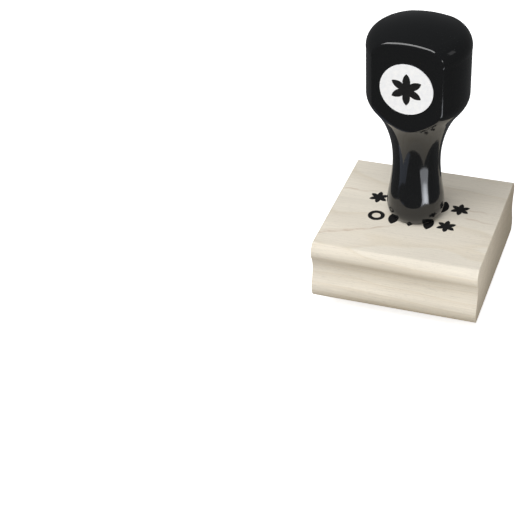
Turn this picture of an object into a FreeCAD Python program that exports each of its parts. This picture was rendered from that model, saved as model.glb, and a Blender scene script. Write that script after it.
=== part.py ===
import FreeCAD, Part
import math
import os

# A hand stamp: a turned hardwood handle screwed to a moulded maple block, which carries
# a foam cushion and a rubber die. Millimetres, +Z up, the printing face of the die on z = 0,
# the handle's axis on X = Y = 0, and the front of the stamp, where its label is, towards -Y.

# --- the layers under the block, from the printing face up ---
relief_height = 1.0
die_base = 1.3
die_width = 35.0
die_depth = 27.0
die_corner = 2.0
film = 0.15
film_margin = 0.2
cushion = 3.0
cushion_margin = 0.4

# --- the block: a length of moulding, sawn at both ends; each place on its side is
# a half depth and a height over the sole ---
block_width = 50.8
block_thickness = 18.7
crease = (24.05, block_thickness)
bead_shoulder = (25.47, 17.43)
bead = (26.0, 15.6)
bead_underside = (25.85, 14.46)
quirk = (25.41, 13.4)
groove_side = (24.79, 11.9)
groove = (24.58, 10.3)
cove = (24.85, 7.84)
skirt = (25.64, 5.5)
toe = (26.14, 2.69)
sole = (25.2, 0.0)
moulding = (
    crease, bead_shoulder, bead, bead_underside, quirk, groove_side, groove, cove, skirt, toe, sole,
)

# --- the handle, a body of revolution about Z, heights counted from the top of the block; it is
# screwed on a few degrees off square, so its flats aren't quite parallel to the block's sides ---
foot_radius = 6.9
foot_bulge_radius = 8.1
foot_bulge_height = 1.6
bulge_radius = 8.62
bulge_height = 5.0
neck_radius = 7.26
neck_height = 16.5
flare = ((7.55, 24.5), (9.45, 31.3), (11.6, 35.4), (14.05, 38.8))
upper_bulge = (8.05, 10.0)
head_radius = 15.1
head_bottom = 42.4
head_top = 56.2
shoulder_radius = 11.2
shoulder_height = 62.2
shoulder_bow_radius = 14.0
shoulder_bow_height = 60.4
handle_height = 64.2
flat_distance = 11.0
flat_edge_round = 1.1
handle_turn = -3.24

# --- the fastener that clamps the handle to the block ---
screw_radius = 2.4
screw_length = 25.0
screw_head_radius = 4.75
screw_head_height = 3.0
screw_head_round = 1.35
screw_tip_chamfer = 0.7
cross_width = 1.1
cross_length = 5.2
cross_depth = 1.9
washer_radius = 5.3
washer_hole_radius = 2.65
washer_thickness = 1.0
counterbore_radius = 5.8
counterbore_depth = 5.2
clearance_radius = 2.75
insert_radius = 3.5
insert_groove = 0.22
insert_teeth = 24
insert_length = 12.0
insert_setback = 0.5
insert_bore_radius = 2.45
pilot_radius = 2.7
pilot_depth = 17.0

# --- the label on the head and the prints ---
label_radius = 7.88
label_height = 48.3
label_thickness = 0.25
label_mark_radius = 5.0
label_petal_width = 2.3
ink = 0.04
print_height = 6.4
leaf_width = 3.2
ring_radius = 2.6
ring_hole_radius = 1.35
diamond_width = 4.4
diamond_height = 6.2
rosette_radius = 3.1
petal_width = 1.6
petals = 6
upper_row_offset = 4.7
upper_row_pitch = 5.15
lower_row_offset = -5.2
lower_row_pitch = 5.45
print_gap_around_foot = 0.1

upper_row = ("rosette", "leaf", "ring", "diamond", "leaf", "rosette")
lower_row = ("ring", "leaf", "diamond", "leaf", "rosette")

# --- heights of the faces between the layers ---
die_top = relief_height + die_base
lower_film_top = die_top + film
cushion_top = lower_film_top + cushion
block_bottom = cushion_top + film
block_top = block_bottom + block_thickness
washer_bottom = block_bottom + counterbore_depth - washer_thickness

tolerance = 1e-3
down = FreeCAD.Vector(0, 0, -1)
up = FreeCAD.Vector(0, 0, 1)
forward = FreeCAD.Vector(0, -1, 0)


def point(x, y, z=0.0):
    return FreeCAD.Vector(x, y, z)


# --- ornaments, each a list of flat faces around the origin that are one shape when joined ---
def leaf_face(length, width):
    """Two arcs that meet in a point at each end."""
    tip = point(0, length / 2)
    base = point(0, -length / 2)
    right = Part.Arc(base, point(width / 2, 0), tip)
    left = Part.Arc(tip, point(-width / 2, 0), base)
    return Part.Face(Part.Wire([right.toShape(), left.toShape()]))


def rosette_faces(radius, width):
    """Leaf-shaped petals around a centre, joined by a round eye."""
    faces = [Part.Face(Part.Wire(Part.makeCircle(width / 2)))]
    for step in range(petals):
        petal = leaf_face(radius, width)
        petal.translate(point(0, radius / 2))
        petal.rotate(point(0, 0), up, step * 360 / petals)
        faces.append(petal)
    return faces


def ring_face():
    outer = Part.Face(Part.Wire(Part.makeCircle(ring_radius)))
    return outer.cut(Part.Face(Part.Wire(Part.makeCircle(ring_hole_radius))))


def diamond_face():
    side = diamond_width / 2
    tip = diamond_height / 2
    corners = [point(0, -tip), point(side, 0), point(0, tip), point(-side, 0)]
    return Part.Face(Part.makePolygon(corners + corners[:1]))


def ornament(name):
    """The faces of one ornament of a print row."""
    if name == "rosette":
        return rosette_faces(rosette_radius, petal_width)
    if name == "ring":
        return [ring_face()]
    if name == "diamond":
        return [diamond_face()]
    return [leaf_face(print_height, leaf_width)]


def thickened(faces, along):
    """Faces extruded and joined into one solid."""
    solids = [face.extrude(along) for face in faces]
    if len(solids) == 1:
        return solids[0]
    return solids[0].multiFuse(solids[1:]).removeSplitter()


def print_rows(bottom, thickness):
    """The two rows of ornaments as raised solids, as read from above."""
    solids = []
    rows = (
        (upper_row, upper_row_pitch, upper_row_offset),
        (lower_row, lower_row_pitch, lower_row_offset),
    )
    for names, pitch, offset in rows:
        first = -pitch * (len(names) - 1) / 2
        for index, name in enumerate(names):
            solid = thickened(ornament(name), point(0, 0, thickness))
            solid.translate(point(first + index * pitch, offset, bottom))
            solids.append(solid)
    return solids


# --- the wooden parts ---
def moulded_side(sign):
    """One long side of the moulding, from top to bottom: a bead, a groove, a cove and a skirt."""
    places = [point(0, sign * half_depth, height) for half_depth, height in moulding]
    return [Part.Arc(*places[start:start + 3]) for start in range(0, len(places) - 1, 2)]


def block_profile():
    front = moulded_side(-1)
    back = moulded_side(1)
    edges = [curve.toShape() for curve in front + back]
    edges.append(Part.makeLine(front[0].StartPoint, back[0].StartPoint))
    edges.append(Part.makeLine(front[-1].EndPoint, back[-1].EndPoint))
    return Part.Wire(Part.__sortEdges__(edges))


def mount_block():
    """The moulding with a clearance hole and a counterbore for the screw."""
    profile = Part.Face(block_profile())
    profile.translate(point(-block_width / 2, 0, block_bottom))
    block = profile.extrude(point(block_width, 0, 0))
    hole = Part.makeCylinder(clearance_radius, block_thickness, point(0, 0, block_bottom))
    counterbore = Part.makeCylinder(counterbore_radius, counterbore_depth, point(0, 0, block_bottom))
    return block.cut(hole.fuse(counterbore))


def handle_outline():
    """Half of the handle's section, on its axis, from the foot to the crown."""
    def at(radius, height):
        return point(radius, 0, block_top + height)

    foot = at(foot_radius, 0)
    bulge = at(bulge_radius, bulge_height)
    head_start = at(head_radius, head_bottom)
    head_end = at(head_radius, head_top)
    shoulder = at(shoulder_radius, shoulder_height)
    crown = at(0, handle_height)
    rise = handle_height - shoulder_height
    crown_radius = (shoulder_radius ** 2 + rise ** 2) / (2 * rise)
    half_angle = math.asin(shoulder_radius / crown_radius) / 2
    crown_bow = crown + point(math.sin(half_angle), 0, math.cos(half_angle) - 1) * crown_radius
    waist = Part.BSplineCurve()
    through = [bulge, at(*upper_bulge), at(neck_radius, neck_height)]
    through += [at(*place) for place in flare] + [head_start]
    waist.interpolate(Points=through, InitialTangent=up, FinalTangent=up)
    edges = [
        Part.makeLine(at(0, 0), foot),
        Part.Arc(foot, at(foot_bulge_radius, foot_bulge_height), bulge).toShape(),
        waist.toShape(),
        Part.makeLine(head_start, head_end),
        Part.Arc(head_end, at(shoulder_bow_radius, shoulder_bow_height), shoulder).toShape(),
        Part.Arc(shoulder, crown_bow, crown).toShape(),
        Part.makeLine(crown, at(0, 0)),
    ]
    return Part.Wire(edges)


def handle_flat(side):
    """The wood that is planed off the head to make its front or its back flat."""
    size = 2 * head_radius
    near = side * flat_distance
    low = min(near, near + side * size)
    return Part.makeBox(2 * size, size, handle_height, point(-size, low, block_top + neck_height))


def is_flat(face):
    """Whether a face of the handle is its front or its back flat."""
    return isinstance(face.Surface, Part.Plane) and abs(abs(face.CenterOfMass.y) - flat_distance) < tolerance


def turned(shape):
    """A shape of the handle, turned as the handle is turned on the block."""
    shape.rotate(point(0, 0), up, handle_turn)
    return shape


def handle():
    """The turned handle with two flats on its head, bored from below for the insert."""
    body = Part.Face(handle_outline()).revolve(point(0, 0), up, 360)
    body = body.cut(handle_flat(-1)).cut(handle_flat(1))
    flat_edges = [edge for face in body.Faces if is_flat(face) for edge in face.Edges]
    body = body.makeFillet(flat_edge_round, flat_edges)
    socket = Part.makeCylinder(insert_radius, insert_setback + insert_length, point(0, 0, block_top))
    pilot = Part.makeCylinder(pilot_radius, pilot_depth, point(0, 0, block_top))
    return turned(body.cut(socket.fuse(pilot)))


# --- the fastener ---
def handle_insert():
    """A knurled brass sleeve, threaded inside, in the foot of the handle."""
    corners = []
    for step in range(2 * insert_teeth):
        radius = insert_radius if step % 2 == 0 else insert_radius - insert_groove
        angle = math.pi * step / insert_teeth
        corners.append(point(radius * math.cos(angle), radius * math.sin(angle)))
    knurl = Part.Face(Part.makePolygon(corners + corners[:1])).extrude(point(0, 0, insert_length))
    bore = Part.makeCylinder(insert_bore_radius, insert_length)
    insert = knurl.cut(bore)
    insert.translate(point(0, 0, block_top + insert_setback))
    return insert


def handle_screw():
    """A pan-head machine screw with a cross recess, its head down."""
    shank = Part.makeCylinder(screw_radius, screw_length, point(0, 0, washer_bottom))
    shank = shank.makeChamfer(screw_tip_chamfer, [highest_edge(shank)])
    head = Part.makeCylinder(screw_head_radius, screw_head_height, point(0, 0, washer_bottom), down)
    head = head.makeFillet(screw_head_round, [lowest_edge(head)])
    recess = cross_slot(0).fuse(cross_slot(90))
    return head.fuse(shank).cut(recess).removeSplitter()


def cross_slot(turn):
    corner = point(-cross_length / 2, -cross_width / 2, washer_bottom - screw_head_height)
    slot = Part.makeBox(cross_length, cross_width, cross_depth, corner)
    slot.rotate(point(0, 0), up, turn)
    return slot


def highest_edge(shape):
    return max(shape.Edges, key=lambda edge: edge.CenterOfMass.z)


def lowest_edge(shape):
    return min(shape.Edges, key=lambda edge: edge.CenterOfMass.z)


def screw_washer():
    bottom = point(0, 0, washer_bottom)
    plate = Part.makeCylinder(washer_radius, washer_thickness, bottom)
    return plate.cut(Part.makeCylinder(washer_hole_radius, washer_thickness, bottom))


# --- the label and the prints ---
def label_disc():
    centre = point(0, -flat_distance, block_top + label_height)
    return turned(Part.makeCylinder(label_radius, label_thickness, centre, forward))


def label_mark():
    """A six-petal rosette printed on the label."""
    mark = thickened(rosette_faces(label_mark_radius, label_petal_width), point(0, 0, ink))
    mark.rotate(point(0, 0), point(1, 0), 90)
    mark.translate(point(0, -flat_distance - label_thickness, block_top + label_height))
    return turned(mark)


def index_print():
    """The print on top of the block, which the foot of the handle covers in the middle."""
    covered = Part.makeCylinder(foot_radius + print_gap_around_foot, ink, point(0, 0, block_top))
    inked = [solid.cut(covered) for solid in print_rows(block_top, ink)]
    return Part.makeCompound([solid for shape in inked for solid in shape.Solids])


# --- the layers under the block ---
def layer(margin, bottom, thickness):
    """A plate in the outline of the die, smaller by a margin all round."""
    width = die_width - 2 * margin
    depth = die_depth - 2 * margin
    corner = die_corner - margin
    plate = Part.makeBox(width, depth, thickness, point(-width / 2, -depth / 2, bottom))
    return plate.makeFillet(corner, [edge for edge in plate.Edges if is_upright(edge)])


def is_upright(edge):
    start, end = (vertex.Point for vertex in edge.Vertexes)
    return start.distanceToPoint(end) - abs(start.z - end.z) < tolerance


def upper_film():
    return layer(film_margin, cushion_top, film)


def foam_cushion():
    return layer(cushion_margin, lower_film_top, cushion)


def lower_film():
    return layer(film_margin, die_top, film)


def rubber_die():
    """The rubber sheet with the mirrored ornaments standing out of it, down to the printing face."""
    die = layer(0, relief_height, die_base)
    for solid in print_rows(0, relief_height):
        die = die.fuse(solid.mirror(point(0, 0), point(1, 0)))
    return die.removeSplitter()


def main():
    os.makedirs("parts", exist_ok=True)
    makers = (
        handle, handle_insert, handle_screw, screw_washer, label_disc, label_mark,
        mount_block, index_print, upper_film, foam_cushion, lower_film, rubber_die,
    )
    for maker in makers:
        shape = maker()
        shape.exportStep(f"parts/{maker.__name__}.step")
        print(maker.__name__, shape.isValid(), len(shape.Solids), round(shape.Volume, 2))


main()
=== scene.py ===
"""Looks of a hand stamp: a black lacquered handle on a moulded maple block over a rubber die.

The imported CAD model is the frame. The turned handle, its label, the fasteners, the films and the
die keep their CAD shapes and get their finishes here. The moulding and the foam cushion are
modelled here and stand for their CAD solids.
"""

import logging
import math
from collections.abc import Callable, Sequence
from dataclasses import dataclass
from enum import Enum
from typing import Any

import bpy
from mathutils import Matrix, Vector


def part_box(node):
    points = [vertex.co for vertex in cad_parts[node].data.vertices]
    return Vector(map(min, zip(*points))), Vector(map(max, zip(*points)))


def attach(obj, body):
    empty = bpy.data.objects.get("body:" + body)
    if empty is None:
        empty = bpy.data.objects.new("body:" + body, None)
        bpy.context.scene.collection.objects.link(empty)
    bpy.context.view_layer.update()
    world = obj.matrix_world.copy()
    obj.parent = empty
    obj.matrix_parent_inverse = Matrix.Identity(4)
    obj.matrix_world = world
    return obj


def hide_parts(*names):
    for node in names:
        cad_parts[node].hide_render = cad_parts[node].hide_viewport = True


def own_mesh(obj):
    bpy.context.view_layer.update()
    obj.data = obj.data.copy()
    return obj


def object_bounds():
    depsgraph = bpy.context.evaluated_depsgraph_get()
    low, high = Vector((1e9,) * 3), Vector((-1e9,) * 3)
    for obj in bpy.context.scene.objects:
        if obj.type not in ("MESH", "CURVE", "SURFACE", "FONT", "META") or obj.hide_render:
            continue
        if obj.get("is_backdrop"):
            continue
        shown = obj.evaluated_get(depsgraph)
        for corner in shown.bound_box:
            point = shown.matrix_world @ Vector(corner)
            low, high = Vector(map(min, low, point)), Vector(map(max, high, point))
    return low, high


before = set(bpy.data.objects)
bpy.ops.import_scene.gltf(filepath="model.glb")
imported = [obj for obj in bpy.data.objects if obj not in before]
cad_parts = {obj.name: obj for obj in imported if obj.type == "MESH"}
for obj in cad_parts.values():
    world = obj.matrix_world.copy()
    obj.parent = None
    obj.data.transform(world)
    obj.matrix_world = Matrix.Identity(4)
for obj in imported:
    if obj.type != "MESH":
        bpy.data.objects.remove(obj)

LOG = logging.getLogger("stamp")
MM = 0.001
TOUCH = 0.01 * MM  # two places nearer than this are the same place


class Body(str, Enum):
    """The two rigid bodies of the frame."""

    MOUNT = "mount"
    DIE = "die"


# --- colour, nodes and editing helpers -------------------------------------------------------


def linear(hex_colour: str) -> tuple[float, float, float, float]:
    """Turns an sRGB hex colour into the linear colour that a shader takes.

    Args:
        hex_colour: six hex digits after a hash sign.

    Returns:
        Red, green, blue and an alpha of one.
    """
    channels = [int(hex_colour[i : i + 2], 16) / 255 for i in (1, 3, 5)]
    values = [c / 12.92 if c <= 0.04045 else ((c + 0.055) / 1.055) ** 2.4 for c in channels]
    return values[0], values[1], values[2], 1.0


def add_node(
    tree: bpy.types.NodeTree, kind: str, inputs: dict[Any, Any] | None = None, **settings: Any
) -> bpy.types.Node:
    """Adds one node with its settings, its socket values and its links.

    Args:
        tree: the node tree that gets the node.
        kind: the node's type name.
        inputs: for each input's name or number, a value or the output socket that feeds it.
        settings: attributes of the node.

    Returns:
        The new node.
    """
    node = tree.nodes.new(kind)
    for name, value in settings.items():
        setattr(node, name, value)
    for key, value in (inputs or {}).items():
        if isinstance(value, bpy.types.NodeSocket):
            tree.links.new(value, node.inputs[key])
        else:
            node.inputs[key].default_value = value
    return node


def set_ramp(node: bpy.types.Node, stops: Sequence[tuple[float, str]]) -> bpy.types.NodeSocket:
    """Gives a colour ramp its stops.

    Args:
        node: a Color Ramp node.
        stops: each stop's place, from 0 to 1 and rising, and its hex colour.

    Returns:
        The ramp's colour output.
    """
    elements = node.color_ramp.elements
    while len(elements) < len(stops):
        elements.new(1.0)
    for element, (place, colour) in zip(elements, stops):
        element.position = place
        element.color = linear(colour)
    return node.outputs["Color"]


def deselect_all() -> None:
    """Leaves object mode with nothing selected, so that the next operator meets only its own piece."""
    if bpy.context.mode != "OBJECT":
        bpy.ops.object.mode_set(mode="OBJECT")
    bpy.ops.object.select_all(action="DESELECT")


def take(piece: bpy.types.Object) -> None:
    """Makes a piece the only selected and the active object.

    Args:
        piece: the object to select.
    """
    deselect_all()
    piece.select_set(True)
    bpy.context.view_layer.objects.active = piece


def select_vertices(piece: bpy.types.Object, test: Callable[[Vector], bool]) -> int:
    """Selects, in edit mode, the vertices that pass a test on their place.

    Args:
        piece: the object being edited.
        test: a function of the vertex's place that says whether it is wanted.

    Returns:
        How many vertices are selected.
    """
    bpy.ops.mesh.select_all(action="DESELECT")
    bpy.ops.mesh.select_mode(type="VERT")
    bpy.ops.object.mode_set(mode="OBJECT")
    count = 0
    for vertex in piece.data.vertices:
        vertex.select = bool(test(vertex.co))
        count += vertex.select
    bpy.ops.object.mode_set(mode="EDIT")
    return count


def select_edges(piece: bpy.types.Object, test: Callable[[Vector, Vector], bool]) -> int:
    """Selects, in edit mode, the edges whose two ends pass a test together.

    Args:
        piece: the object being edited.
        test: a function of the two ends' places that says whether the edge is wanted.

    Returns:
        How many edges are selected.
    """
    bpy.ops.mesh.select_all(action="DESELECT")
    bpy.ops.mesh.select_mode(type="EDGE")
    bpy.ops.object.mode_set(mode="OBJECT")
    count = 0
    for edge in piece.data.edges:
        start, end = (piece.data.vertices[i].co for i in edge.vertices)
        edge.select = bool(test(start, end))
        count += edge.select
    bpy.ops.object.mode_set(mode="EDIT")
    return count


def add_box(name: str, low: Vector, high: Vector) -> bpy.types.Object:
    """Adds a box between two corners, with its place in its mesh.

    Args:
        name: the piece's name.
        low: the lowest corner, in metres.
        high: the highest corner, in metres.

    Returns:
        The new piece, at the origin, unturned and unscaled.
    """
    deselect_all()
    bpy.ops.mesh.primitive_cube_add(size=1.0, location=(low + high) / 2, scale=high - low)
    piece = bpy.context.object
    piece.name = name
    bpy.ops.object.transform_apply(location=True, rotation=True, scale=True)
    return piece


def apply_modifier(piece: bpy.types.Object, kind: str, **settings: Any) -> None:
    """Puts one modifier on a piece and applies it.

    Args:
        piece: the mesh object.
        kind: the modifier's type.
        settings: the modifier's attributes.
    """
    take(piece)
    modifier = piece.modifiers.new(kind.title(), kind)
    for name, value in settings.items():
        setattr(modifier, name, value)
    bpy.ops.object.modifier_apply(modifier=modifier.name)


def smooth(piece: bpy.types.Object, degrees: float) -> None:
    """Shades a piece smooth, except over edges that turn by more than an angle."""
    take(piece)
    bpy.ops.object.shade_smooth_by_angle(angle=math.radians(degrees))


def dress(piece: bpy.types.Object, material: bpy.types.Material) -> bpy.types.Object:
    """Gives a piece one material all over.

    Args:
        piece: a mesh object of this script or of the frame.
        material: its finish.

    Returns:
        The same piece.
    """
    piece.data.materials.clear()
    piece.data.materials.append(material)
    return piece


# --- finishes --------------------------------------------------------------------------------


@dataclass(frozen=True)
class Finish:
    """A finish: a material's name and the node tree that every finish starts from."""

    name: str

    def start(self) -> tuple[bpy.types.Material, bpy.types.NodeTree, bpy.types.NodeSocket]:
        """Makes an empty material.

        Returns:
            The material, its tree, and the piece's own coordinates in millimetres.
        """
        material = bpy.data.materials.new(self.name)
        material.use_nodes = True
        tree = material.node_tree
        tree.nodes.clear()
        place = add_node(tree, "ShaderNodeTexCoord").outputs["Object"]
        millimetres = add_node(
            tree, "ShaderNodeVectorMath", {0: place, 1: (1 / MM,) * 3}, operation="MULTIPLY"
        )
        return material, tree, millimetres.outputs[0]

    def end(self, tree: bpy.types.NodeTree, **inputs: Any) -> bpy.types.Node:
        """Adds the shader and the material's output.

        Args:
            tree: the material's tree.
            inputs: the shader's inputs, with an underscore for each blank in a name.

        Returns:
            The shader node.
        """
        named = {key.replace("_", " "): value for key, value in inputs.items()}
        shader = add_node(tree, "ShaderNodeBsdfPrincipled", named)
        add_node(tree, "ShaderNodeOutputMaterial", {"Surface": shader.outputs[0]})
        return shader

    def noise(
        self, tree: bpy.types.NodeTree, place: bpy.types.NodeSocket, size: tuple[float, float, float],
        detail: float = 3.0, roughness: float = 0.5,
    ) -> bpy.types.NodeSocket:
        """Adds noise whose blotches have a size of their own along each axis.

        Args:
            tree: the material's tree.
            place: coordinates in millimetres.
            size: the blotches' size along X, Y and Z, in millimetres.
            detail: how many finer layers the noise has.
            roughness: how strong the finer layers are.

        Returns:
            The noise's value, about 0.5 on average.
        """
        mapped = add_node(
            tree, "ShaderNodeVectorMath", {0: place, 1: tuple(1 / s for s in size)}, operation="MULTIPLY"
        )
        noise = add_node(
            tree, "ShaderNodeTexNoise",
            {"Vector": mapped.outputs[0], "Scale": 1.0, "Detail": detail, "Roughness": roughness},
        )
        return noise.outputs[0]

    def span(
        self, tree: bpy.types.NodeTree, value: bpy.types.NodeSocket, low: float, high: float,
        start: float = 0.0, end: float = 1.0,
    ) -> bpy.types.NodeSocket:
        """Maps a value's stretch onto another one, clamped at both ends.

        Args:
            tree: the material's tree.
            value: the value to map.
            low: what the stretch's start becomes.
            high: what the stretch's end becomes.
            start: where the stretch starts.
            end: where the stretch ends.

        Returns:
            The mapped value.
        """
        mapped = add_node(tree, "ShaderNodeMapRange", {0: value, 1: start, 2: end, 3: low, 4: high})
        return mapped.outputs[0]

    def bump(
        self, tree: bpy.types.NodeTree, height: bpy.types.NodeSocket, depth_mm: float, strength: float = 1.0,
    ) -> bpy.types.NodeSocket:
        """Turns a height pattern into a bent normal.

        Args:
            tree: the material's tree.
            height: the pattern, from 0 to 1.
            depth_mm: how deep the pattern is, in millimetres.
            strength: how much of the bend is used.

        Returns:
            The normal.
        """
        node = add_node(
            tree, "ShaderNodeBump", {"Height": height, "Distance": depth_mm * MM, "Strength": strength}
        )
        return node.outputs[0]


@dataclass(frozen=True)
class BlackLacquer(Finish):
    """Nitrocellulose lacquer, dipped and hung to dry over turned beech.

    The dip leaves a deep, near-black gloss whose reflections waver a little, over faint lathe rings.
    Rings, peel and their depths are in millimetres. The rings are drawn coarser than real tool marks,
    so that they show.
    """

    name: str = "nitrocellulose_lacquer_dipped_beech"
    colour: str = "#141516"
    ring_spacing: float = 0.7
    ring_depth: float = 0.004
    peel_size: float = 1.6
    peel_depth: float = 0.006
    roughness: tuple[float, float] = (0.06, 0.13)
    coat: float = 0.35

    def make(self) -> bpy.types.Material:
        """Builds the material.

        Returns:
            The material.
        """
        material, tree, place = self.start()
        peel = self.noise(tree, place, (self.peel_size, self.peel_size, self.peel_size * 2.5), 2.0)
        rings = self.noise(tree, place, (400.0, 400.0, self.ring_spacing), 1.0)
        film = self.span(tree, self.noise(tree, place, (9.0, 9.0, 14.0)), *self.roughness, 0.3, 0.7)
        lathe = self.bump(tree, rings, self.ring_depth)
        waver = add_node(
            tree, "ShaderNodeBump",
            {"Height": peel, "Distance": self.peel_depth * MM, "Strength": 1.0, "Normal": lathe},
        )
        self.end(
            tree, Base_Color=linear(self.colour), Roughness=film, IOR=1.5, Normal=waver.outputs[0],
            Coat_Weight=self.coat, Coat_Roughness=0.05, Coat_IOR=1.5,
        )
        return material


@dataclass(frozen=True)
class Streak:
    """A thin brown streak in the top of the wood, all its sizes in millimetres.

    It runs from its start along X and drifts across by a slope, and fades out at its far end.
    """

    start: tuple[float, float]
    slope: float
    length: float
    width: float
    strength: float
    waver: float = 0.9


@dataclass(frozen=True)
class PlanedMaple(Finish):
    """Hard maple, planed and moulded along the grain and sawn across it, left bare.

    The planed sides are a pale, cool cream with fine fibres, short flecks and hardly visible growth
    rings along X. The top has a few thin brown streaks. The sawn ends show open pores and the saw's
    marks, and look a little darker. All sizes are in millimetres. Fibres and flecks are drawn wider than
    real ones, so that they show.
    """

    name: str = "hard_maple_planed_bare"
    heart: tuple[float, float] = (-9.0, -64.0)
    ring_spacing: float = 3.1
    fibre: tuple[float, float, float] = (15.0, 0.3, 0.3)
    fleck: tuple[float, float, float] = (1.5, 0.24, 0.24)
    streak_colour: str = "#ab8c70"
    end_tint: str = "#d8cbb6"
    end_start: float = 25.3
    streaks: tuple[Streak, ...] = (
        Streak((-25.4, -18.9), 0.46, 24.0, 0.34, 0.6),
        Streak((-25.4, -17.6), 0.40, 13.0, 0.22, 0.3),
        Streak((-25.4, 7.1), 0.06, 14.0, 0.3, 0.4),
        Streak((12.0, 5.4), -0.04, 13.4, 0.3, 0.3),
        Streak((15.0, 0.6), -0.1, 10.4, 0.3, 0.42),
    )
    streak_floor: float = 22.6
    stops: tuple[tuple[float, str], ...] = (
        (0.0, "#e0d9cb"), (0.5, "#dfd8ca"), (0.86, "#ddd5c6"), (0.95, "#dad1c0"), (1.0, "#dfd8ca"),
    )

    def make(self) -> bpy.types.Material:
        """Builds the material.

        Returns:
            The material.
        """
        material, tree, place = self.start()
        fibres = self.noise(tree, place, self.fibre, 4.0, 0.6)
        colour = self.end_grained(tree, place, self.grained(tree, place, fibres, self.ringed(tree, place)))
        for streak in self.streaks:
            colour = self.streaked(tree, place, colour, streak)
        self.end(
            tree, Base_Color=colour, Roughness=self.span(tree, fibres, 0.6, 0.78, 0.3, 0.7), IOR=1.5,
            Normal=self.bump(tree, fibres, 0.05, 0.8), Specular_IOR_Level=0.2,
        )
        return material

    def ringed(self, tree: bpy.types.NodeTree, place: bpy.types.NodeSocket) -> bpy.types.NodeSocket:
        """Colours the growth rings, which are circles round the tree's heart that waver along X.

        Args:
            tree: the material's tree.
            place: coordinates in millimetres.

        Returns:
            The rings' colour.
        """
        drift = self.noise(tree, place, (60.0, 24.0, 24.0), 2.0)
        sway = add_node(tree, "ShaderNodeMath", {0: drift, 1: 9.0}, operation="MULTIPLY").outputs[0]
        across = add_node(
            tree, "ShaderNodeVectorMath", {0: place, 1: (0.0, *self.heart)}, operation="SUBTRACT"
        ).outputs[0]
        flat = add_node(
            tree, "ShaderNodeVectorMath", {0: across, 1: (0.0, 1.0, 1.0)}, operation="MULTIPLY"
        ).outputs[0]
        radius = add_node(tree, "ShaderNodeVectorMath", {0: flat}, operation="LENGTH").outputs["Value"]
        wavy = add_node(tree, "ShaderNodeMath", {0: radius, 1: sway}, operation="ADD").outputs[0]
        years = add_node(
            tree, "ShaderNodeMath", {0: wavy, 1: self.ring_spacing}, operation="DIVIDE"
        ).outputs[0]
        year = add_node(tree, "ShaderNodeMath", {0: years}, operation="FRACT").outputs[0]
        return set_ramp(add_node(tree, "ShaderNodeValToRGB", {0: year}), self.stops)

    def grained(
        self, tree: bpy.types.NodeTree, place: bpy.types.NodeSocket, fibres: bpy.types.NodeSocket,
        colour: bpy.types.NodeSocket,
    ) -> bpy.types.NodeSocket:
        """Lays fibres, flecks and slow drifts of shade over a colour.

        Args:
            tree: the material's tree.
            place: coordinates in millimetres.
            fibres: the fibres' pattern.
            colour: what they lie over.

        Returns:
            The grained colour.
        """
        layers = (
            (fibres, 0.925, 1.06, 0.3, 0.7),
            (self.noise(tree, place, self.fleck, 2.0), 0.9, 1.0, 0.3, 0.42),
            (self.noise(tree, place, (40.0, 6.0, 6.0), 2.0), 0.955, 1.035, 0.3, 0.7),
        )
        for pattern, low, high, start, end in layers:
            shade = self.span(tree, pattern, low, high, start, end)
            colour = add_node(
                tree, "ShaderNodeVectorMath", {0: colour, "Scale": shade}, operation="SCALE"
            ).outputs[0]
        return colour

    def end_grained(
        self, tree: bpy.types.NodeTree, place: bpy.types.NodeSocket, colour: bpy.types.NodeSocket
    ) -> bpy.types.NodeSocket:
        """Darkens the sawn ends, which show open pores and the marks of the saw.

        Args:
            tree: the material's tree.
            place: coordinates in millimetres.
            colour: the colour of the planed sides.

        Returns:
            The colour of sides and ends.
        """
        along = add_node(tree, "ShaderNodeSeparateXYZ", {0: place}).outputs[0]
        endwise = add_node(tree, "ShaderNodeMath", {0: along}, operation="ABSOLUTE").outputs[0]
        sawn = self.span(tree, endwise, 0.0, 1.0, self.end_start - 0.1, self.end_start)
        pores = self.span(tree, self.noise(tree, place, (0.5, 0.3, 0.3), 2.0), 0.9, 1.0, 0.35, 0.5)
        marks = self.span(tree, self.noise(tree, place, (9.0, 0.45, 14.0), 2.0), 0.96, 1.03, 0.35, 0.65)
        worn = add_node(tree, "ShaderNodeMath", {0: pores, 1: marks}, operation="MULTIPLY").outputs[0]
        tinted = add_node(
            tree, "ShaderNodeMix", {0: 0.35, 6: colour, 7: linear(self.end_tint)}, data_type="RGBA"
        ).outputs[2]
        end_colour = add_node(
            tree, "ShaderNodeVectorMath", {0: tinted, "Scale": worn}, operation="SCALE"
        ).outputs[0]
        return add_node(
            tree, "ShaderNodeMix", {0: sawn, 6: colour, 7: end_colour}, data_type="RGBA"
        ).outputs[2]

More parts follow.
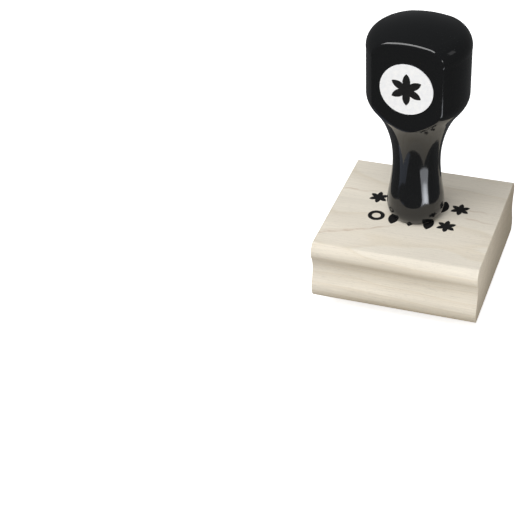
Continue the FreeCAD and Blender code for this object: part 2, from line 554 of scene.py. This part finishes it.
    def streaked(
        self, tree: bpy.types.NodeTree, place: bpy.types.NodeSocket, colour: bpy.types.NodeSocket,
        streak: Streak,
    ) -> bpy.types.NodeSocket:
        """Lays one thin brown streak over the top of the wood.

        Args:
            tree: the material's tree.
            place: coordinates in millimetres.
            colour: what it lies over.
            streak: where and how strong it is.

        Returns:
            The streaked colour.
        """
        moved = add_node(
            tree, "ShaderNodeVectorMath", {0: place, 1: (*streak.start, 0.0)}, operation="SUBTRACT"
        ).outputs[0]
        parts = add_node(tree, "ShaderNodeSeparateXYZ", {0: moved}).outputs
        climb = add_node(tree, "ShaderNodeMath", {0: parts[0], 1: streak.slope}, operation="MULTIPLY")
        off = add_node(tree, "ShaderNodeMath", {0: parts[1], 1: climb.outputs[0]}, operation="SUBTRACT")
        wobble = self.span(
            tree, self.noise(tree, place, (7.0, 30.0, 30.0), 2.0), -streak.waver, streak.waver, 0.2, 0.8
        )
        line = add_node(tree, "ShaderNodeMath", {0: off.outputs[0], 1: wobble}, operation="ADD").outputs[0]
        away = add_node(tree, "ShaderNodeMath", {0: line}, operation="ABSOLUTE").outputs[0]
        masks = (
            self.span(tree, away, streak.strength, 0.0, 0.0, 2 * streak.width),
            self.span(tree, parts[0], 0.0, 1.0, -0.5, 1.0),
            self.span(tree, parts[0], 1.0, 0.0, 0.55 * streak.length, streak.length),
            self.span(tree, parts[2], 0.0, 1.0, self.streak_floor, self.streak_floor + 0.5),
            self.span(tree, self.noise(tree, place, (3.0, 1.0, 1.0), 2.0), 0.35, 1.0, 0.35, 0.6),
        )
        mask = masks[0]
        for factor in masks[1:]:
            mask = add_node(tree, "ShaderNodeMath", {0: mask, 1: factor}, operation="MULTIPLY").outputs[0]
        return add_node(
            tree, "ShaderNodeMix", {0: mask, 6: colour, 7: linear(self.streak_colour)}, data_type="RGBA"
        ).outputs[2]


@dataclass(frozen=True)
class PressedInk(Finish):
    """Oil ink pressed onto a surface: flat black, a little uneven where it soaked in."""

    name: str = "carbon_ink_pressed"
    colour: str = "#0c0b0b"
    worn: str = "#1b1918"

    def make(self) -> bpy.types.Material:
        """Builds the material.

        Returns:
            The material.
        """
        material, tree, place = self.start()
        soaked = self.noise(tree, place, (1.4, 0.25, 0.25), 3.0)
        colour = set_ramp(
            add_node(tree, "ShaderNodeValToRGB", {0: soaked}), [(0.45, self.colour), (0.75, self.worn)]
        )
        self.end(tree, Base_Color=colour, Roughness=0.62, IOR=1.48, Normal=self.bump(tree, soaked, 0.01))
        return material


@dataclass(frozen=True)
class WhiteVinyl(Finish):
    """Calendered vinyl, die-cut: cool white with a satin skin and a faint leathery ripple."""

    name: str = "vinyl_calendered_white"
    colour: str = "#f9fbfe"
    tint: str = "#f2f5fa"

    def make(self) -> bpy.types.Material:
        """Builds the material.

        Returns:
            The material.
        """
        material, tree, place = self.start()
        ripple = self.noise(tree, place, (1.1, 1.1, 1.1), 2.0)
        colour = set_ramp(
            add_node(tree, "ShaderNodeValToRGB", {0: ripple}), [(0.35, self.tint), (0.65, self.colour)]
        )
        gloss = self.span(tree, ripple, 0.3, 0.42, 0.3, 0.7)
        self.end(tree, Base_Color=colour, Roughness=gloss, IOR=1.53, Normal=self.bump(tree, ripple, 0.004))
        return material


@dataclass(frozen=True)
class Metal(Finish):
    """A machined metal: fine turning lines round Z over a slightly blotched surface.

    The lines are drawn further apart than real ones, so that they show.
    """

    name: str = "metal"
    colour: str = "#b8b8b8"
    dark: str = "#8f8f8f"
    roughness: tuple[float, float] = (0.22, 0.38)
    line_spacing: float = 0.12

    def make(self) -> bpy.types.Material:
        """Builds the material.

        Returns:
            The material.
        """
        material, tree, place = self.start()
        lines = self.noise(tree, place, (200.0, 200.0, self.line_spacing), 2.0)
        blotches = self.noise(tree, place, (2.5, 2.5, 2.5), 4.0)
        colour = set_ramp(
            add_node(tree, "ShaderNodeValToRGB", {0: blotches}), [(0.35, self.dark), (0.65, self.colour)]
        )
        gloss = self.span(tree, blotches, *self.roughness, 0.3, 0.7)
        self.end(
            tree, Base_Color=colour, Metallic=1.0, Roughness=gloss, Normal=self.bump(tree, lines, 0.006)
        )
        return material


@dataclass(frozen=True)
class AdhesiveFilm(Finish):
    """Acrylic adhesive on a polyester film: milky amber, soft gloss on its cut edge."""

    name: str = "acrylic_adhesive_film"
    colour: str = "#d9cfb4"
    dusty: str = "#c8bd9f"

    def make(self) -> bpy.types.Material:
        """Builds the material.

        Returns:
            The material.
        """
        material, tree, place = self.start()
        dust = self.noise(tree, place, (0.8, 0.8, 0.8), 4.0)
        colour = set_ramp(
            add_node(tree, "ShaderNodeValToRGB", {0: dust}), [(0.4, self.colour), (0.7, self.dusty)]
        )
        self.end(
            tree, Base_Color=colour, Roughness=self.span(tree, dust, 0.25, 0.5), IOR=1.47,
            Subsurface_Weight=0.2, Subsurface_Radius=(0.001, 0.0008, 0.0004), Subsurface_Scale=0.3,
        )
        return material


@dataclass(frozen=True)
class CellFoam(Finish):
    """Closed-cell neoprene foam, die-cut: a charcoal wall of small open-cut cells, with painted shade in
    each cell's hollow.
    """

    name: str = "neoprene_foam_die_cut"
    wall: str = "#5a5d61"
    shaded_hollow: str = "#2b2d30"
    cell: float = 0.35

    def make(self) -> bpy.types.Material:
        """Builds the material.

        Returns:
            The material.
        """
        material, tree, place = self.start()
        cells = add_node(
            tree, "ShaderNodeTexVoronoi", {"Vector": place, "Scale": 1 / self.cell}, feature="F1"
        ).outputs["Distance"]
        # The darker colour at each cell's middle is painted shade in the cell's pit; the lighter one is the
        # foam's own charcoal.
        colour = set_ramp(
            add_node(tree, "ShaderNodeValToRGB", {0: cells}), [(0.15, self.shaded_hollow), (0.55, self.wall)]
        )
        self.end(
            tree, Base_Color=colour, Roughness=0.86, IOR=1.5, Normal=self.bump(tree, cells, 0.09),
            Sheen_Weight=0.15,
        )
        return material


@dataclass(frozen=True)
class EngravedRubber(Finish):
    """Laser-engraved stamp rubber: brick red, matt, with a faint hatch left by the beam.

    The hatch is drawn coarser than the beam's real lines, so that it shows.
    """

    name: str = "stamp_rubber_laser_engraved"
    colour: str = "#a8402f"
    dusty: str = "#bb5f4b"
    hatch: float = 0.12

    def make(self) -> bpy.types.Material:
        """Builds the material.

        Returns:
            The material.
        """
        material, tree, place = self.start()
        dust = self.noise(tree, place, (0.9, 0.9, 0.9), 5.0, 0.6)
        beam = self.noise(tree, place, (60.0, self.hatch, 60.0), 1.0)
        colour = set_ramp(
            add_node(tree, "ShaderNodeValToRGB", {0: dust}), [(0.4, self.colour), (0.75, self.dusty)]
        )
        self.end(
            tree, Base_Color=colour, Roughness=self.span(tree, dust, 0.55, 0.75), IOR=1.52,
            Normal=self.bump(tree, beam, 0.02), Sheen_Weight=0.1,
        )
        return material


@dataclass(frozen=True)
class SeamlessPaper(Finish):
    """Studio background paper, calendered: matt white with a hardly visible tooth, overexposed.

    What it gives back to the stamp is darker, as from a small sheet on a grey table, so the stamp's
    sides keep their shade.
    """

    name: str = "background_paper_white"
    colour: str = "#f8f8f8"
    shade: str = "#f3f3f3"
    table: str = "#b2a896"
    glow: float = 0.8

    def make(self) -> bpy.types.Material:
        """Builds the material.

        Returns:
            The material.
        """
        material, tree, place = self.start()
        tooth = self.noise(tree, place, (1.5, 1.5, 1.5), 3.0)
        colour = set_ramp(
            add_node(tree, "ShaderNodeValToRGB", {0: tooth}), [(0.3, self.shade), (0.7, self.colour)]
        )
        paper = self.end(
            tree, Base_Color=colour, Roughness=0.9, IOR=1.45, Specular_IOR_Level=0.2,
            Emission_Color=linear(self.colour), Emission_Strength=self.glow,
        )
        table = add_node(tree, "ShaderNodeBsdfDiffuse", {"Color": linear(self.table)})
        seen = add_node(tree, "ShaderNodeLightPath").outputs["Is Camera Ray"]
        mixed = add_node(
            tree, "ShaderNodeMixShader", {0: seen, 1: table.outputs[0], 2: paper.outputs[0]}
        )
        add_node(tree, "ShaderNodeOutputMaterial", {"Surface": mixed.outputs[0]}, is_active_output=True)
        return material


# --- sub-assemblies --------------------------------------------------------------------------


@dataclass
class Handle:
    """The turned handle with its label, and the screw, washer and insert that clamp it."""

    lacquer: BlackLacquer = BlackLacquer()
    vinyl: WhiteVinyl = WhiteVinyl()
    ink: PressedInk = PressedInk(name="screen_ink_on_vinyl")
    brass: Metal = Metal("brass_knurled", "#c9a256", "#a9823c", (0.25, 0.4))
    zinc: Metal = Metal("steel_zinc_plated", "#c2c5c8", "#a3a7ad", (0.28, 0.45))

    def build(self) -> None:
        """Dresses the CAD nodes of the handle and of its fastener."""
        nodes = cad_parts
        dress(nodes["handle"], self.lacquer.make())
        dress(nodes["label_disc"], self.vinyl.make())
        dress(nodes["label_mark"], self.ink.make())
        dress(nodes["handle_insert"], self.brass.make())
        steel = self.zinc.make()
        for name in ("handle_screw", "screw_washer"):
            dress(nodes[name], steel)
        LOG.info("handle, label and fastener dressed")


def arc_through(
    first: tuple[float, float], middle: tuple[float, float], last: tuple[float, float]
) -> tuple[float, float, float]:
    """Finds the circle through three points.

    Args:
        first: one point.
        middle: a point between the other two.
        last: the other point.

    Returns:
        The centre's two coordinates and the radius.
    """
    (ax, ay), (bx, by), (cx, cy) = first, middle, last
    double_area = 2 * (ax * (by - cy) + bx * (cy - ay) + cx * (ay - by))
    squares = ax * ax + ay * ay, bx * bx + by * by, cx * cx + cy * cy
    x = (squares[0] * (by - cy) + squares[1] * (cy - ay) + squares[2] * (ay - by)) / double_area
    y = (squares[0] * (cx - bx) + squares[1] * (ax - cx) + squares[2] * (bx - ax)) / double_area
    return x, y, math.hypot(ax - x, ay - y)


@dataclass
class Block:
    """The maple block: a length of moulding, bored for the screw, with the print on its top.

    Each place on the moulded side is a half depth and a height over the block's sole, in millimetres.
    """

    crease: tuple[float, float] = (24.05, 18.7)
    bead_shoulder: tuple[float, float] = (25.47, 17.43)
    bead: tuple[float, float] = (26.0, 15.6)
    bead_underside: tuple[float, float] = (25.85, 14.46)
    quirk: tuple[float, float] = (25.41, 13.4)
    groove_side: tuple[float, float] = (24.79, 11.9)
    groove: tuple[float, float] = (24.58, 10.3)
    cove: tuple[float, float] = (24.85, 7.84)
    skirt: tuple[float, float] = (25.64, 5.5)
    toe: tuple[float, float] = (26.14, 2.69)
    sole: tuple[float, float] = (25.2, 0.0)
    row_spacing: float = 0.4
    edge_round: float = 0.22
    bore_radius: float = 2.75
    counterbore_radius: float = 5.8
    counterbore_depth: float = 5.2
    maple: PlanedMaple = PlanedMaple()
    ink: PressedInk = PressedInk(name="index_ink_on_maple")

    def arcs(self) -> tuple[tuple[tuple[float, float], ...], ...]:
        """Lists the moulding's arcs from top to bottom, each as three places that it passes through."""
        return (
            (self.crease, self.bead_shoulder, self.bead),
            (self.bead, self.bead_underside, self.quirk),
            (self.quirk, self.groove_side, self.groove),
            (self.groove, self.cove, self.skirt),
            (self.skirt, self.toe, self.sole),
        )

    def half_depth(self, height: float) -> float:
        """Gives the moulding's half depth at a height.

        Args:
            height: millimetres over the sole.

        Returns:
            The half depth, in millimetres.
        """
        for upper, middle, lower in self.arcs():
            if height >= lower[1]:
                x, y, radius = arc_through(upper, middle, lower)
                reach = math.sqrt(max(0.0, radius**2 - (height - y) ** 2))
                return x + reach if middle[0] > x else x - reach
        return self.sole[0]

    def rows(self) -> list[float]:
        """Lists the heights of the mesh's rows, closer than the row spacing, through every arc's end.

        Returns:
            Heights over the sole, in millimetres, from the sole up.
        """
        ends = [arc[2][1] for arc in reversed(self.arcs())] + [self.crease[1]]
        heights = [ends[0]]
        for low, high in zip(ends, ends[1:]):
            steps = math.ceil((high - low) / self.row_spacing)
            heights += [low + (high - low) * step / steps for step in range(1, steps + 1)]
        return heights

    def moulding(self) -> bpy.types.Object:
        """Models the block: a box is cut into rows, and each row is drawn out to the moulding's depth.

        Returns:
            The block.
        """
        low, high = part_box("mount_block")
        piece = add_box("maple_block", low, high)
        bpy.ops.object.mode_set(mode="EDIT")
        heights = self.rows()
        for height in heights[1:-1]:
            bpy.ops.mesh.select_all(action="SELECT")
            bpy.ops.mesh.bisect(plane_co=(0, 0, low.z + height * MM), plane_no=(0, 0, 1))
        for height in heights:
            level = low.z + height * MM
            select_vertices(piece, lambda place: abs(place.z - level) < TOUCH)
            bpy.ops.transform.resize(
                value=(1, self.half_depth(height) * MM / high.y, 1), center_override=(0, 0, level)
            )
        bpy.ops.object.mode_set(mode="OBJECT")
        apply_modifier(
            piece, "BEVEL", width=self.edge_round * MM, segments=3, limit_method="ANGLE",
            angle_limit=math.radians(24), profile=0.5,
        )
        self.bore(piece, low.z)
        smooth(piece, 30)
        return piece

    def bore(self, piece: bpy.types.Object, sole: float) -> None:
        """Drills the clearance hole and the counterbore.

        Args:
            piece: the block.
            sole: the height of its underside, in metres.
        """
        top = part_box("mount_block")[1].z
        cuts = ((self.bore_radius, top + MM), (self.counterbore_radius, sole + self.counterbore_depth * MM))
        for radius, end in cuts:
            deselect_all()
            start = sole - MM
            bpy.ops.mesh.primitive_cylinder_add(
                vertices=64, radius=radius * MM, depth=end - start, location=(0, 0, (start + end) / 2)
            )
            drill = bpy.context.object
            apply_modifier(piece, "BOOLEAN", operation="DIFFERENCE", object=drill, solver="EXACT")
            bpy.data.objects.remove(drill)

    def build(self) -> None:
        """Makes the block, dresses it, and dresses the print."""
        block = dress(self.moulding(), self.maple.make())
        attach(block, Body.MOUNT.value)
        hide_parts("mount_block")
        LOG.info("%s: %d faces", block.name, len(block.data.polygons))
        dress(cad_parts["index_print"], self.ink.make())


@dataclass
class DieStack:
    """The layers under the block: adhesive film, foam cushion, adhesive film and rubber die."""

    corner: float = 1.6
    edge_round: float = 0.12
    waist: float = 0.18
    rows: int = 7
    film: AdhesiveFilm = AdhesiveFilm()
    foam: CellFoam = CellFoam()
    rubber: EngravedRubber = EngravedRubber()

    def cushion(self) -> bpy.types.Object:
        """Models the foam: a plate with round corners, whose cut walls draw in between its skins.

        Returns:
            The cushion.
        """
        low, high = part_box("foam_cushion")
        piece = add_box("foam_pad", low, high)
        bpy.ops.object.mode_set(mode="EDIT")
        select_edges(piece, lambda start, end: abs(start.z - end.z) > 0.5 * (high.z - low.z))
        bpy.ops.mesh.bevel(offset=self.corner * MM, segments=8)
        for row in range(1, self.rows):
            share = row / self.rows
            level = low.z + (high.z - low.z) * share
            bpy.ops.mesh.select_all(action="SELECT")
            bpy.ops.mesh.bisect(plane_co=(0, 0, level), plane_no=(0, 0, 1))
            select_vertices(piece, lambda place: abs(place.z - level) < TOUCH)
            drawn_in = self.waist * MM * math.sin(math.pi * share)
            bpy.ops.transform.resize(
                value=(1 - drawn_in / high.x, 1 - drawn_in / high.y, 1), center_override=(0, 0, level)
            )
        bpy.ops.object.mode_set(mode="OBJECT")
        apply_modifier(
            piece, "BEVEL", width=self.edge_round * MM, segments=3, limit_method="ANGLE",
            angle_limit=math.radians(50),
        )
        smooth(piece, 40)
        return piece

    def build(self) -> None:
        """Makes the cushion and dresses the films and the die."""
        cushion = dress(self.cushion(), self.foam.make())
        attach(cushion, Body.MOUNT.value)
        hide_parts("foam_cushion")
        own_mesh(cushion)
        LOG.info("%s: %d faces", cushion.name, len(cushion.data.polygons))
        film = self.film.make()
        for name in ("upper_film", "lower_film"):
            dress(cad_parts[name], film)
        dress(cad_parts["rubber_die"], self.rubber.make())


# --- studio ----------------------------------------------------------------------------------


class Facing(Enum):
    """Where a light faces: the stamp, or straight up, as a bright card lying on the floor does."""

    STAMP = "stamp"
    UP = "up"


@dataclass(frozen=True)
class Softbox:
    """A square area light, placed by its direction from the stamp's middle.

    It is turned to a point that lies the aim, in metres, over the middle. Its grid is the angle of the
    cone that its honeycomb lets through.
    """

    name: str
    azimuth: float
    elevation: float
    distance: float
    size: tuple[float, float]
    watts: float
    colour: str = "#ffffff"
    facing: Facing = Facing.STAMP
    aim: float = 0.0
    grid: float = 180.0

    def place(self, target: Vector) -> None:
        """Hangs the light and turns it to where it faces.

        Args:
            target: what it is placed round, in metres.
        """
        data = bpy.data.lights.new(self.name, "AREA")
        data.shape = "RECTANGLE"
        data.size, data.size_y = self.size
        data.energy = self.watts
        data.color = linear(self.colour)[:3]
        data.spread = math.radians(self.grid)
        lamp = bpy.data.objects.new(self.name, data)
        bpy.context.scene.collection.objects.link(lamp)
        a, e = math.radians(self.azimuth), math.radians(self.elevation)
        away = Vector((math.sin(a) * math.cos(e), -math.cos(a) * math.cos(e), math.sin(e)))
        outward = Vector((math.sin(a), -math.cos(a), 0))
        aimed = away * self.distance - Vector((0, 0, self.aim))
        back = aimed.normalized() if self.facing is Facing.STAMP else Vector((0, 0, -1))
        side = outward.cross(back) if self.facing is Facing.UP else Vector((0, 0, 1)).cross(back)
        side.normalize()
        turn = Matrix((side, back.cross(side), back)).transposed().to_4x4()
        lamp.matrix_world = Matrix.Translation(target + away * self.distance) @ turn
        lamp.visible_camera = False


@dataclass
class Studio:
    """The floor, the lights, the surroundings and the camera."""

    floor_radius: float = 1.6
    floor_gap: float = 0.05
    surroundings: str = "#9a9a9a"
    flags: str = "#4f5051"
    backdrop: str = "#ffffff"
    camera_place: tuple[float, float, float] = (1.7955, -7.207, 5.3498)
    azimuth: float = 21.11
    elevation: float = 35.83
    roll: float = -2.89
    lens: float = 100.3
    paper: SeamlessPaper = SeamlessPaper()
    lights: tuple[Softbox, ...] = (
        Softbox("key", -23.0, 56.0, 0.9, (1.0, 0.6), 8.9),
        Softbox("head_spot", 34.0, 8.0, 0.25, (0.11, 0.16), 0.0035, aim=0.042, grid=13.0),
        Softbox("side_card", 94.0, 31.0, 0.8, (0.2, 0.2), 0.06),
        Softbox("right_floor_card", 50.0, -22.4, 0.1082, (0.05, 0.065), 0.026, "#f4f8ff", Facing.UP),
        Softbox("base_card", 54.0, -18.0, 0.105, (0.05, 0.02), 0.0008, "#f4f8ff", aim=-0.011, grid=32.0),
        Softbox("left_floor_card", -48.0, -32.0, 0.079, (0.05, 0.055), 0.0032, "#d4e2ff", Facing.UP),
    )

    def floor(self) -> None:
        """Lays a round sheet of paper a hair under the stamp, so that no face of the die lies in it."""
        deselect_all()
        bpy.ops.mesh.primitive_circle_add(
            vertices=96, radius=self.floor_radius, fill_type="NGON", location=(0, 0, -self.floor_gap * MM)
        )
        sheet = bpy.context.object
        sheet.name = "paper_floor"
        dress(sheet, self.paper.make())
        sheet.visible_glossy = False
        sheet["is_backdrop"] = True

    def sky(self) -> None:
        """Surrounds the scene with a dim room.

        The camera sees it as the pale paper going on, and the gloss sees the dark flags that keep the
        room off black lacquer.
        """
        world = bpy.data.worlds.new("studio")
        world.use_nodes = True
        tree = world.node_tree
        tree.nodes.clear()
        rays = add_node(tree, "ShaderNodeLightPath").outputs
        room, dark, pale = (
            add_node(tree, "ShaderNodeBackground", {0: linear(colour), 1: 1.0}).outputs[0]
            for colour in (self.surroundings, self.flags, self.backdrop)
        )
        flagged = add_node(tree, "ShaderNodeMixShader", {0: rays["Is Glossy Ray"], 1: room, 2: dark})
        mixed = add_node(
            tree, "ShaderNodeMixShader", {0: rays["Is Camera Ray"], 1: flagged.outputs[0], 2: pale}
        )
        add_node(tree, "ShaderNodeOutputWorld", {"Surface": mixed.outputs[0]})
        bpy.context.scene.world = world

    def camera(self) -> None:
        """Sets the camera up, its place counted in block widths from the middle of the block's sole."""
        low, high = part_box("mount_block")
        a, e, r = (math.radians(x) for x in (self.azimuth, self.elevation, self.roll))
        ahead = Vector((-math.sin(a) * math.cos(e), math.cos(a) * math.cos(e), -math.sin(e)))
        level = Vector((math.cos(a), math.sin(a), 0))
        upright = level.cross(ahead)
        right = level * math.cos(r) + upright * math.sin(r)
        top = upright * math.cos(r) - level * math.sin(r)
        data = bpy.data.cameras.new("camera")
        data.lens = self.lens
        data.clip_start, data.clip_end = 0.01, 20.0
        camera = bpy.data.objects.new("camera", data)
        bpy.context.scene.collection.objects.link(camera)
        turn = Matrix((right, top, -ahead)).transposed().to_4x4()
        spot = Vector((0, 0, low.z)) + Vector(self.camera_place) * (high.x - low.x)
        camera.matrix_world = Matrix.Translation(spot) @ turn
        bpy.context.scene.camera = camera

    def build(self) -> None:
        """Builds the floor, the surroundings, the lights and the camera."""
        self.floor()
        self.sky()
        low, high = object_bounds()
        for light in self.lights:
            light.place((low + high) / 2)
        self.camera()
        bpy.context.scene.view_settings.view_transform = "Standard"
        LOG.info("studio: %d lights", len(self.lights))


def main() -> None:
    """Builds every sub-assembly in order, then the studio."""
    logging.basicConfig(level=logging.INFO, format="%(name)s: %(message)s")
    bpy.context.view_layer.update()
    for part in (Handle(), Block(), DieStack(), Studio()):
        LOG.info("building %s", type(part).__name__)
        part.build()


if __name__ == "__main__":
    main()
